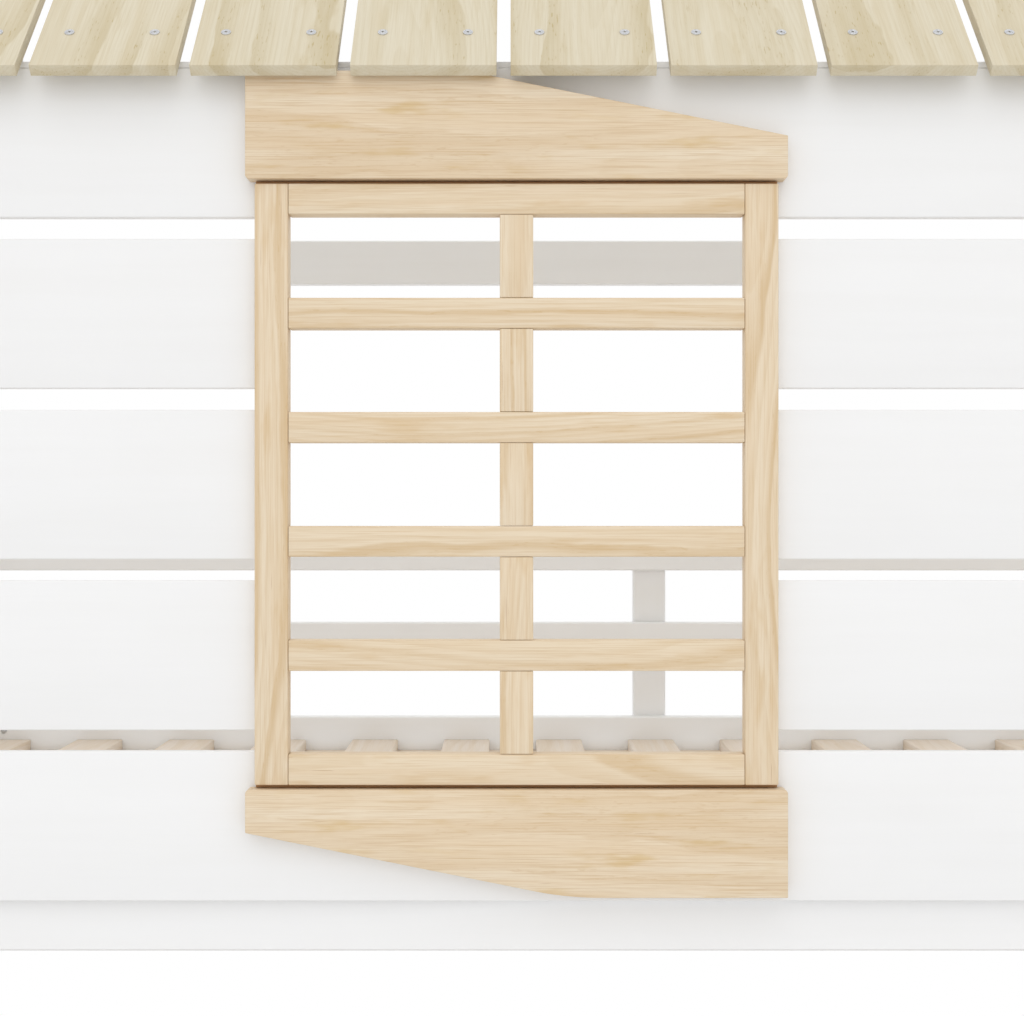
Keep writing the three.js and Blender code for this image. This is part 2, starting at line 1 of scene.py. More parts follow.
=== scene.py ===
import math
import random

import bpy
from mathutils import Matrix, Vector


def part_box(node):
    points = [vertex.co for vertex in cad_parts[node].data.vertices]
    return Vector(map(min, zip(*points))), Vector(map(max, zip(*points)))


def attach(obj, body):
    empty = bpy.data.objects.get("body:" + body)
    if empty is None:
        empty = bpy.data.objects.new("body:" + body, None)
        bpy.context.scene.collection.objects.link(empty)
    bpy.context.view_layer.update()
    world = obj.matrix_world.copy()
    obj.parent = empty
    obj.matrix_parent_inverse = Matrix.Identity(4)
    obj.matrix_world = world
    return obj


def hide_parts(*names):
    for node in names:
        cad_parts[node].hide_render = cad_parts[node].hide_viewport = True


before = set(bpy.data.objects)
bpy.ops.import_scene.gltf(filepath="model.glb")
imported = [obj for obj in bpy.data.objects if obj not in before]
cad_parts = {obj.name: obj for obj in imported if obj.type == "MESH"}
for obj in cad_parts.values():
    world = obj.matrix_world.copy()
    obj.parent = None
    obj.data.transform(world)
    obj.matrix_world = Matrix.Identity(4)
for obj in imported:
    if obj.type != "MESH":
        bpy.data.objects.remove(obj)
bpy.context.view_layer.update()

# The look of the house bunk bed. Metres, in the frame of the imported model.
# Wall boards, window, trim, roof, bed slats and ladder are made here and stand for their
# nodes; the rest keep their own shape and get a paint. Bolts, barrel nuts, screws, two dark
# strips of painted shade in the gaps beside the window trim, and a light strip at the eave
# are added.

# Camera, as the photograph was taken; lens and sensor in millimetres
CAMERA_PLACE = (-0.2127, -2.1317, 1.350)
CAMERA_LENS = 60.5
CAMERA_SENSOR = 36.0

# Studio light: the sky from below to above, what the front and the rear add to it, and a band
# that runs from the front over the top to the back. Each part has the axis of the direction
# (X counts without its sign), the range that it changes over, and its strengths at both ends.
SKY = ("Z", (-0.35, 0.45), (0.70, 0.96))
FRONT = ("Y", (-0.50, -1.00), (0.0, 0.06))
REAR = ("Y", (0.10, 0.80), (0.0, 0.08))
BAND = ("X", (0.00, 0.75), (0.36, 0.0))

# Lamps: name, place, aim, size and watts. The one inside lifts what stands behind the wall,
# and keeps clear of the boards.
LAMPS = (
    ("key", (-0.6, -4.2, 5.0), (-0.2, 0, 1.3), (3.2, 3.2), 12),
    ("fill", (2.4, -4.0, 1.6), (-0.2, 0, 1.3), (3.0, 3.0), 3),
    ("inside", (-0.15, -0.38, 1.34), (-0.15, 0.30, 0.90), (1.8, 0.4), 0.78),
)

# Floor: its radius where it has faded out, and where it begins to fade
FLOOR_SIZE = 14
FLOOR_LEVEL = -0.0002
FLOOR_FADE = (2.35, 1.35)

# Sizes that the nodes' boxes don't give
BOARD_ROUNDING = 0.0015
HOUSING_GAP = 0.0003
STRIP_SETBACK = 0.0015
STRIP_THICKNESS = 0.0100
STRIP_HEIGHT = 0.0062
STRIP_ROUNDING = 0.0006
WINDOW_RAIL_HEIGHT = 0.0284
WINDOW_BAR_WIDTH = 0.031
WINDOW_ROUNDING = 0.0011
WINDOW_JOINT = 0.0003
WINDOW_ROWS = 5
TRIM_END_HEIGHT = 0.0397
TRIM_TAPER = 0.298
TRIM_KNEE_RADIUS = 0.280
TRIM_CORNER = 0.0035
TRIM_OUTER_CORNER = 0.0009
TRIM_ROUNDING = 0.0006
KNEE_STEPS = 10
CORNER_STEPS = 4
# Depth and rounding of the dark strips that paint the shade in the gaps beside the trim
PAINTED_SHADE_DEPTH = 0.0060
PAINTED_SHADE_ROUNDING = 0.0004
BED_SLAT_WIDTH = 0.070
BED_SLAT_THICKNESS = 0.018
BED_SLATS = 15
LEDGER_WIDTH = 0.022
LEDGER_LAP = 0.002
SLAT_ROUNDING = 0.002
ROOF_SLATS = 15
ROOF_SLAT_WIDTH = 0.134
ROOF_SLAT_THICKNESS = 0.011
ROOF_SLAT_OVERHANG = 0.0578
ROOF_SLAT_LIFT = 0.0003
ROOF_ROUNDING = 0.0009
ROOF_PITCH = math.radians(45)
EAVE_LEVEL = 1.788
SCREW_UP_SLOPE = 0.0002
SCREW_FROM_RIDGE = 0.016
SCREW_SPREAD = 0.040
SCREW_RADIUS = 0.0047
SCREW_HEIGHT = 0.0016
SCREW_SUNK = 0.0006
SCREW_RIM = 0.0010
SCREW_GROOVE = 0.0006
LADDER_STILE = 0.025
LADDER_TREADS = 4
TREAD_THICKNESS = 0.024
TREAD_SETBACK = 0.0005
LADDER_ROUNDING = 0.004
BOLT_HEAD_RADIUS = 0.0066
BOLT_HEAD_HEIGHT = 0.0055
COUNTERBORE = 0.008
NUT_RADIUS = 0.0047
NUT_LENGTH = 0.013
NUT_RECESS = 0.0008
FASTENER_PLAY = 0.0001
SIDE_BOLT_LEVELS = (0.151, 0.206, 0.953, 1.008)
SIDE_NUT_X = 0.9937
END_BOLT_LEVELS = (0.166, 0.191, 0.968, 0.993, 1.725)
END_NUT_INSET = 0.031
FRONT_TOP_BOLT_LEVEL = 1.750
BACK_TOP_BOLT_LEVEL = 1.740
RAFTER_SCREW_SHARES = (0.35, 0.68)

# Turned pieces: their steps round and over the edges, and the shares of radius or length that
# their edges and recesses take up
TURNED_SIDES = 20
TURNED_STEPS = 2
TURNED_ANGLE = 50
TURNED_ROUNDING_SHARE = 0.12
CROSS_REACH_SHARE = 0.36
CROSS_WIDTH_SHARE = 0.09
SOCKET_SIDES = 6
SOCKET_RADIUS_SHARE = 0.46
SOCKET_LEVEL_SHARE = 0.55
SLOT_WIDTH_SHARE = 0.16
SLOT_LEVEL_SHARE = 0.38

# Rounded edges, shading, and how close is the same place
EDGE_STEPS = 3
EDGE_ANGLE = 30
TRIM_EDGE_ANGLE = 60
SMOOTH_ANGLE = math.radians(35)
WELD_REACH = 1e-6
NEAR = 1e-5
BOARD_EDGE = 1e-4

# How far from the heart of its log a board is cut, beside it, and where along it
HEART_DISTANCES = (0.035, 0.110)
HEART_OFFSETS = (-0.060, 0.060)
LOG_PLACES = (0, 40)

# First seed of each kind of piece; the next pieces count on from it
STRIP_SEED = 9
STILE_SEED = 101
RAIL_SEED = 110
BAR_SEED = 120
TRIM_SEED = 131
PAINTED_SHADE_SEED = 140
ROOF_SEED = 200
SCREW_SEED = 300
UPPER_BASE_SEED = 400
LOWER_BASE_SEED = 500
LADDER_SEED = 600
TREAD_SEED = 610

# Pine: the width of a single year, and pin knots (cells per metre along and across, how many
# cells stay empty, how long a knot is drawn out, and its size and the size of its swirl)
YEAR_RING = 0.0034
KNOT_CELLS = (1.7, 7.0)
KNOTLESS_SHARE = 0.78
KNOT_STRETCH = 0.55
KNOT_RADII = (0.0026, 0.0012)
SWIRL_RADIUS = 0.014

X = Vector((1, 0, 0))
Y = Vector((0, 1, 0))
Z = Vector((0, 0, 1))
UP_SLOPE = Vector((0, math.cos(ROOF_PITCH), math.sin(ROOF_PITCH)))
OFF_SLOPE = Vector((0, -math.sin(ROOF_PITCH), math.cos(ROOF_PITCH)))
GRAINS = {"x": (X, Z), "y": (Y, X), "z": (Z, X), "slope": (UP_SLOPE, X)}


# Shader maths: a value in a material, with the arithmetic of the Math node.
class Value:
    def __init__(self, graph, socket):
        self.graph = graph
        self.socket = socket

    def __add__(self, other):
        return self.graph.maths("ADD", self, other)

    def __radd__(self, other):
        return self.graph.maths("ADD", other, self)

    def __sub__(self, other):
        return self.graph.maths("SUBTRACT", self, other)

    def __rsub__(self, other):
        return self.graph.maths("SUBTRACT", other, self)

    def __mul__(self, other):
        return self.graph.maths("MULTIPLY", self, other)

    def __truediv__(self, other):
        return self.graph.maths("DIVIDE", self, other)


# The nodes of one material
class Graph:
    def __init__(self, name):
        self.material = bpy.data.materials.new(name)
        self.material.use_nodes = True
        self.tree = self.material.node_tree
        self.shader = self.tree.nodes["Principled BSDF"]

    def feed(self, socket, value):
        if isinstance(value, Value):
            self.tree.links.new(value.socket, socket)
        else:
            socket.default_value = value

    def node(self, kind, settings, inputs, output):
        made = self.tree.nodes.new(kind)
        for name, setting in settings.items():
            setattr(made, name, setting)
        for name, value in inputs.items():
            self.feed(made.inputs[name], value)
        return Value(self, made.outputs[output])

    def maths(self, operation, a, b=0.0):
        settings = {"operation": operation}
        return self.node("ShaderNodeMath", settings, {0: a, 1: b}, "Value")

    def step(self, value, low, high):
        """0 below low, 1 above high, smooth between; low may be the larger."""
        settings = {"interpolation_type": "SMOOTHSTEP"}
        inputs = {"Value": value, "From Min": low, "From Max": high}
        return self.node("ShaderNodeMapRange", settings, inputs, "Result")

    def mix(self, share, a, b):
        settings = {"data_type": "RGBA"}
        return self.node("ShaderNodeMix", settings, {0: share, 6: a, 7: b}, 2)

    def vector(self, x, y, z):
        return self.node("ShaderNodeCombineXYZ", {}, {"X": x, "Y": y, "Z": z}, "Vector")

    def split(self, vector):
        made = self.tree.nodes.new("ShaderNodeSeparateXYZ")
        self.feed(made.inputs[0], vector)
        return [Value(self, output) for output in made.outputs]

    def noise(self, place, detail=2.0, roughness=0.5):
        inputs = {"Vector": place, "Scale": 1.0, "Detail": detail, "Roughness": roughness}
        return self.node("ShaderNodeTexNoise", {}, inputs, "Fac")

    def streaks(self, grain, lengthwise, crosswise, detail, roughness=0.5):
        """Noise drawn out along the grain; the two sizes are in waves per metre."""
        along, across, depth = grain
        place = self.vector(along * lengthwise, across * crosswise, depth * crosswise)
        return self.noise(place, detail, roughness)

    def bump(self, height, strength, distance):
        inputs = {"Height": height, "Strength": strength, "Distance": distance}
        normal = self.node("ShaderNodeBump", {}, inputs, "Normal")
        self.feed(self.shader.inputs["Normal"], normal)

    def grain_place(self, source):
        """Where a point is along, across and down into its board."""
        if source == "board":
            settings = {"attribute_name": "grain"}
            return self.split(self.node("ShaderNodeAttribute", settings, {}, "Vector"))
        place = self.node("ShaderNodeTexCoord", {}, {}, "Object")
        x, y, z = self.split(place)
        if source == "x":
            return x, z, y
        if source == "y":
            return y, z, x
        if source == "z":
            return z, x, y
        side = 1 if source == "front_slope" else -1
        lean = math.sqrt(0.5)
        return (y * (side * lean) + z * lean), x, (z * lean - y * (side * lean))


def pine(name, colours, rings, figure, roughness):
    """Planed pine: annual rings, fibres, stains, resin dashes and a few pin knots.

    rings is the width of a broad ring, how far its late wood shows, how much it flutters,
    and where in the ring its late wood begins, is full and begins to fade; figure holds the
    shares of the stains, the fine lines, the dashes, the pores and the fine rings of single
    years.
    """
    pale, warm, ring_colour, stain_colour, knot_colour = colours
    ring_width, ring_share, ring_flutter, late_from, late_full, late_fade = rings
    stain_share, line_share, dash_share, pore_share, year_share = figure
    g = Graph(name)
    grain = g.grain_place("board")
    along, across, depth = grain

    # A pin knot here and there, and the rings that part round it
    cells_along, cells_across = KNOT_CELLS
    cell = g.vector(along * cells_along, across * cells_across, 0.0)
    settings = {"voronoi_dimensions": "2D"}
    inputs = {"Vector": cell, "Scale": 1.0, "Randomness": 1.0}
    centre = g.node("ShaderNodeTexVoronoi", settings, inputs, "Position")
    centre_along, centre_across, _ = g.split(centre)
    from_along = (along - centre_along / cells_along) * KNOT_STRETCH
    from_across = across - centre_across / cells_across
    away = g.maths("SQRT", from_along * from_along + from_across * from_across)
    chance = g.node("ShaderNodeTexWhiteNoise", {}, {"Vector": centre}, "Value")
    present = g.maths("GREATER_THAN", chance, KNOTLESS_SHARE)
    swirl = present * g.step(away, SWIRL_RADIUS, 0.0)
    knot = present * g.step(away, *KNOT_RADII)

    # Rings round the heart of the tree, which wanders beside the board
    wander = g.noise(g.vector(along * 1.3, across * 0.8, 3.0), 1.0) - 0.5
    drift = g.noise(g.vector(along * 1.1, 7.0, depth * 0.8), 1.0) - 0.5
    flutter = g.streaks(grain, 7.0, 26.0, 3.0, 0.55) - 0.5
    heart_across = across + wander * 0.110
    heart_depth = depth + drift * 0.070
    reach = g.maths("SQRT", heart_across * heart_across + heart_depth * heart_depth)
    year = g.maths("FRACT", (reach + flutter * 0.003) / YEAR_RING)
    year = g.step(year, 0.30, 0.90) * g.step(year, 1.0, 0.94)
    reach = reach + flutter * ring_flutter + swirl * 0.004
    ring = g.maths("FRACT", reach / ring_width)
    late = g.step(ring, late_from, late_full) * g.step(ring, 1.0, late_fade)
    uneven = g.streaks(grain, 2.6, 16.0, 2.0)
    late = late * g.step(uneven, 0.26, 0.60)

    # What lies along the fibres, from fine to broad
    fibre = g.streaks(grain, 26.0, 1150.0, 3.0, 0.65)
    line = g.streaks(grain, 12.0, 900.0, 2.0, 0.60)
    dash = g.streaks(grain, 24.0, 900.0, 0.0)
    pore = g.streaks(grain, 90.0, 620.0, 1.0)
    band = g.streaks(grain, 2.2, 95.0, 3.0, 0.55)
    stain = g.streaks(grain, 11.0, 60.0, 3.0, 0.6)
    thin = g.streaks(grain, 5.0, 30.0, 1.0)

    colour = g.mix(g.step(band, 0.36, 0.70) * 0.75, pale, warm)
    colour = g.mix(g.step(stain, 0.53, 0.74) * stain_share, colour, stain_colour)
    colour = g.mix(year * year_share, colour, ring_colour)
    colour = g.mix(late * ring_share, colour, ring_colour)
    colour = g.mix(g.step(line, 0.50, 0.64) * line_share, colour, ring_colour)
    colour = g.mix(g.step(fibre, 0.50, 0.72) * (line_share * 0.8), colour, ring_colour)
    dashes = g.step(dash, 0.78, 0.84) * g.step(thin, 0.50, 0.64)
    colour = g.mix(dashes * dash_share, colour, knot_colour)
    pores = g.step(pore, 0.62, 0.74) * g.step(late + stain, 0.55, 1.10)
    colour = g.mix(pores * pore_share, colour, ring_colour)
    colour = g.mix(swirl * 0.30, colour, ring_colour)
    colour = g.mix(knot * 0.70, colour, knot_colour)
    g.feed(g.shader.inputs["Base Color"], colour)
    polish = roughness - late * 0.06 + fibre * 0.10
    g.feed(g.shader.inputs["Roughness"], polish)
    g.feed(g.shader.inputs["Specular IOR Level"], 0.30)
    g.bump(late * 0.30 + fibre * 0.45 + line * 0.25 + knot * 0.4, 0.25, 0.0003)
    return g.material


def white_paint(name, source):
    """Satin paint over pine: the grain telegraphs faintly, and the film pools a little."""
    g = Graph(name)
    grain = g.grain_place(source)
    fibre = g.streaks(grain, 9.0, 420.0, 3.0, 0.6)
    band = g.streaks(grain, 2.4, 46.0, 3.0, 0.55)
    pool = g.streaks(grain, 7.0, 9.0, 2.0)
    speck = g.streaks(grain, 620.0, 620.0, 2.0)
    bright = (0.868, 0.868, 0.868, 1)
    shade = (0.846, 0.843, 0.838, 1)
    veil = g.step(band, 0.35, 0.75) * 0.45 + g.step(pool, 0.35, 0.75) * 0.35
    colour = g.mix(veil, bright, shade)
    colour = g.mix(g.step(fibre, 0.52, 0.80) * 0.30, colour, shade)
    g.feed(g.shader.inputs["Base Color"], colour)
    g.feed(g.shader.inputs["Roughness"], 0.40 + pool * 0.10 + fibre * 0.06)
    g.feed(g.shader.inputs["Specular IOR Level"], 0.30)
    g.bump(fibre * 0.55 + band * 0.25 + speck * 0.20, 0.18, 0.0002)
    return g.material


def zinc(name, tone):
    """Bright zinc plate, faintly brushed and mottled."""
    g = Graph(name)
    place = g.split(g.node("ShaderNodeTexCoord", {}, {}, "Object"))
    mottle = g.streaks(place, 700.0, 700.0, 3.0, 0.6)
    brushed = g.streaks(place, 300.0, 4000.0, 2.0)
    dark = tuple(channel * 0.72 for channel in tone) + (1,)
    g.feed(g.shader.inputs["Base Color"], g.mix(g.step(mottle, 0.35, 0.70), tone + (1,), dark))
    g.feed(g.shader.inputs["Roughness"], 0.26 + mottle * 0.16)
    g.feed(g.shader.inputs["Metallic"], 0.92)
    g.bump(brushed * 0.6 + mottle * 0.4, 0.2, 0.00006)
    return g.material


FRAME_PINE = pine(
    "frame_pine",
    (
        (0.782, 0.662, 0.498, 1),
        (0.744, 0.594, 0.412, 1),
        (0.595, 0.410, 0.205, 1),
        (0.640, 0.445, 0.225, 1),
        (0.420, 0.220, 0.085, 1),
    ),
    (0.0104, 0.50, 0.007, 0.58, 0.86, 0.90),
    (0.48, 0.30, 0.55, 0.40, 0.18),
    0.48,
)
TRIM_PINE = pine(
    "trim_pine",
    (
        (0.790, 0.674, 0.514, 1),
        (0.740, 0.586, 0.402, 1),
        (0.580, 0.395, 0.205, 1),
        (0.640, 0.455, 0.205, 1),
        (0.420, 0.220, 0.085, 1),
    ),
    (0.0200, 0.24, 0.016, 0.36, 0.90, 0.95),
    (0.66, 0.42, 0.70, 0.30, 0.08),
    0.48,
)
ROOF_PINE = pine(
    "roof_pine",
    (
        (0.672, 0.612, 0.475, 1),
        (0.636, 0.560, 0.405, 1),
        (0.480, 0.385, 0.205, 1),
        (0.560, 0.465, 0.285, 1),
        (0.340, 0.220, 0.095, 1),
    ),
    (0.0300, 0.46, 0.028, 0.36, 0.90, 0.95),
    (0.34, 0.16, 0.25, 0.90, 0.12),
    0.56,
)
SLAT_PINE = pine(
    "slat_pine",
    (
        (0.800, 0.714, 0.622, 1),
        (0.765, 0.652, 0.520, 1),
        (0.640, 0.500, 0.335, 1),
        (0.700, 0.560, 0.390, 1),
        (0.400, 0.250, 0.120, 1),
    ),
    (0.0130, 0.24, 0.010, 0.36, 0.90, 0.95),
    (0.24, 0.14, 0.40, 0.20, 0.06),
    0.58,
)
# Pine painted as dark as the shade deep in a narrow gap, for the strips of painted shade beside
# the trim
PAINTED_SHADE_PINE = pine(
    "painted_shade_pine",
    (
        (0.420, 0.235, 0.112, 1),
        (0.380, 0.205, 0.092, 1),
        (0.280, 0.140, 0.058, 1),
        (0.320, 0.165, 0.070, 1),
        (0.200, 0.090, 0.035, 1),
    ),
    (0.0130, 0.30, 0.010, 0.36, 0.90, 0.95),
    (0.30, 0.20, 0.40, 0.20, 0.10),
    0.62,
)
WHITE_BOARD = white_paint("white_board", "board")
ZINC = zinc("zinc", (0.70, 0.71, 0.73))


# Modelling
def start():
    """Object mode with nothing selected."""
    if bpy.context.object and bpy.context.object.mode != "OBJECT":
        bpy.ops.object.mode_set(mode="OBJECT")
    bpy.ops.object.select_all(action="DESELECT")


def pick(made):
    """Object mode with one piece selected and active."""
    start()
    made.select_set(True)
    bpy.context.view_layer.objects.active = made


def block(name, low, high):
    """A box between two corners."""
    start()
    size = Vector(high) - Vector(low)
    middle = (Vector(high) + Vector(low)) / 2
    bpy.ops.mesh.primitive_cube_add(size=1, location=middle, scale=size)
    made = bpy.context.object
    made.name = name
    return made


def settle():
    """The object's place, turn and size go into its mesh."""
    bpy.ops.object.transform_apply(location=True, rotation=True, scale=True)


def turn_about(angle, axis, centre):
    """Turns what is selected, anticlockwise seen from the tip of the axis."""
    bpy.ops.transform.rotate(value=-angle, orient_axis=axis, center_override=centre)


def weld(made):
    """Joins points that a rounding or a cut left in one place."""
    pick(made)
    bpy.ops.object.mode_set(mode="EDIT")
    bpy.ops.mesh.select_all(action="SELECT")
    bpy.ops.mesh.remove_doubles(threshold=WELD_REACH)
    bpy.ops.mesh.dissolve_degenerate(threshold=WELD_REACH)
    bpy.ops.object.mode_set(mode="OBJECT")


def round_edges(made, width, segments=EDGE_STEPS, angle=EDGE_ANGLE):
    """Rounds the edges that turn by more than an angle in degrees."""
    edges = made.modifiers.new("edges", "BEVEL")
    edges.width = width
    edges.segments = segments
    edges.limit_method = "ANGLE"
    edges.angle_limit = math.radians(angle)
    bpy.ops.object.modifier_apply(modifier="edges")
    weld(made)
    bpy.ops.object.shade_smooth_by_angle(angle=SMOOTH_ANGLE)


def cut_away(made, cutter):
    """Takes the shape of a cutter out of a piece; the cutter is used up."""
    pick(made)
    cut = made.modifiers.new("cut", "BOOLEAN")
    cut.operation = "DIFFERENCE"
    cut.object = cutter
    bpy.ops.object.modifier_apply(modifier="cut")
    bpy.data.objects.remove(cutter)
    weld(made)
    bpy.ops.object.shade_smooth_by_angle(angle=SMOOTH_ANGLE)


def mark_grain(made, grain, seed):
    """Each board is cut from its own place in a log."""
    along, across = GRAINS[grain]
    depth = along.cross(across)
    chance = random.Random(seed)
    from_heart = chance.uniform(*HEART_DISTANCES)
    beside_heart = chance.uniform(*HEART_OFFSETS)
    shift = Vector((chance.uniform(*LOG_PLACES), beside_heart, from_heart))
    corners = [Vector(corner) for corner in made.bound_box]
    middle = sum(corners, Vector()) / len(corners)
    layer = made.data.attributes.new("grain", "FLOAT_VECTOR", "POINT")
    for vertex, item in zip(made.data.vertices, layer.data):
        at = vertex.co - middle
        item.vector = Vector((along.dot(at), across.dot(at), depth.dot(at))) + shift


def finish_piece(made, material, nodes=()):
    """The piece gets its material, and stands for the nodes that it replaces."""
    made.data.materials.clear()
    made.data.materials.append(material)
    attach(made, "root")
    if nodes:
        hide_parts(*nodes)


def rail(name, low, high, rounding, grain, seed, material, slot, nodes=(), cuts=()):
    """A straight board between two corners, its edges rounded over, with boxes cut out of it."""
    made = block(name, low, high)
    settle()
    round_edges(made, rounding)
    for cut_low, cut_high in cuts:
        cutter = block("cutter", cut_low, cut_high)
        settle()
        cut_away(made, cutter)
    mark_grain(made, grain, seed)
    finish_piece(made, material, nodes)


def copy_of(made, name, shift):
    """A copy with its own mesh, moved by a shift."""
    pick(made)
    bpy.ops.object.duplicate(linked=False)
    copied = bpy.context.object
    copied.name = name
    bpy.ops.transform.translate(value=shift)
    settle()
    return copied


def row(names, low, high, step, rounding, grain, seed, material, slot, nodes):
    """A rounded board between two corners, and its copies at equal steps.

    nodes has, for each board, the nodes that it stands for.
    """
    pattern = block(names[0], low, high)
    settle()
    round_edges(pattern, rounding)
    boards = [pattern]
    for i, name in enumerate(names[1:], 1):
        boards.append(copy_of(pattern, name, Vector(step) * i))
    for i, board in enumerate(boards):
        mark_grain(board, grain, seed + i)
        finish_piece(board, material, nodes[i])


def on_slope(x, up, off):
    """A point on the front slope, from the roof line at the outer face of the front posts."""
    return Vector((x, front_face, EAVE_LEVEL)) + UP_SLOPE * up + OFF_SLOPE * off


front_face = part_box("post_front_left")[0].y
back_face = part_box("post_back_left")[1].y
ridge_plane = (front_face + back_face) / 2
slope_length = (ridge_plane - front_face) / math.cos(ROOF_PITCH)


# Front wall: the boards are cut clear of the window, and less deeply for its frame.
def wall_boards():
    names = ["wall_board_1", "wall_board_5"]
    for level in (2, 3, 4):
        names += [f"wall_board_{level}_left", f"wall_board_{level}_right"]
    frame_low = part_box("window_stile_left")[0]
    frame_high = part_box("window_stile_right")[1]
    margin = Vector((1, 1, 1)) * HOUSING_GAP
    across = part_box("wall_board_3_left")[1].x - frame_low.x
    up = across + WINDOW_RAIL_HEIGHT - WINDOW_BAR_WIDTH
    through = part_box("wall_board_3_left")[1].y + HOUSING_GAP
    opening_low = (frame_low.x + across, frame_low.y, frame_low.z + up)
    opening_high = (frame_high.x - across, through, frame_high.z - up)
    cuts = [(frame_low - margin, frame_high + margin), (opening_low, opening_high)]
    for seed, node in enumerate(names):
        low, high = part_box(node)
        name = node.replace("wall_board", "wall")
        rail(name, low, high, BOARD_ROUNDING, "x", seed, WHITE_BOARD, "white_paint", [node], cuts)

    # The light strip that shows above the top board, between the ends of the roof slats
    low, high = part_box("wall_board_5")
    plate_low, plate_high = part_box("eave_plate")
    corner = (plate_low.x, low.y + STRIP_SETBACK, high.z + HOUSING_GAP)
    far = (plate_high.x, low.y + STRIP_SETBACK + STRIP_THICKNESS, high.z + STRIP_HEIGHT)
    looks = (WHITE_BOARD, "white_paint")
    rail("eave_strip", corner, far, STRIP_ROUNDING, "x", STRIP_SEED, *looks)


# Window: stiles, rails, and short middle bars between the rails
def window():
    left_low, left_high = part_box("window_stile_left")
    right_low, right_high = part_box("window_stile_right")
    looks = (FRAME_PINE, "warm_pine")
    names = ["stile_left", "stile_right"]
    nodes = [["window_stile_left"], ["window_stile_right"]]
    across = right_low - left_low
    row(names, left_low, left_high, across, WINDOW_ROUNDING, "z", STILE_SEED, *looks, nodes)

    pitch = (left_high.z - left_low.z - WINDOW_RAIL_HEIGHT) / WINDOW_ROWS
    names = [f"window_rail_{i + 1}" for i in range(WINDOW_ROWS + 1)]
    nodes = [["window_lattice"]] + [()] * WINDOW_ROWS
    low = (left_high.x + WINDOW_JOINT, left_low.y, left_low.z)
    high = (right_low.x - WINDOW_JOINT, left_high.y, left_low.z + WINDOW_RAIL_HEIGHT)
    row(names, low, high, (0, 0, pitch), WINDOW_ROUNDING, "x", RAIL_SEED, *looks, nodes)

    middle = (left_low.x + right_high.x) / 2
    names = [f"window_bar_{i + 1}" for i in range(WINDOW_ROWS)]
    nodes = [()] * WINDOW_ROWS
    foot = left_low.z + WINDOW_RAIL_HEIGHT + WINDOW_JOINT
    low = (middle - WINDOW_BAR_WIDTH / 2, left_low.y, foot)
    high = (middle + WINDOW_BAR_WIDTH / 2, left_high.y, left_low.z + pitch - WINDOW_JOINT)
    row(names, low, high, (0, 0, pitch), WINDOW_ROUNDING, "z", BAR_SEED, *looks, nodes)


# Trim board above the window, and the same board turned over below it
def select_only(made, kind, wanted):
    """Selects the faces or edges whose middle passes a test, and goes to edit mode."""
    pick(made)
    mesh = made.data
    bpy.ops.object.mode_set(mode="EDIT")
    bpy.ops.mesh.select_mode(type="EDGE" if kind == "edges" else "FACE")
    bpy.ops.mesh.select_all(action="DESELECT")
    bpy.ops.object.mode_set(mode="OBJECT")
    for part in getattr(mesh, kind):
        middle = sum((mesh.vertices[i].co for i in part.vertices), Vector()) / len(part.vertices)
        part.select = wanted(middle, part)
    bpy.ops.object.mode_set(mode="EDIT")


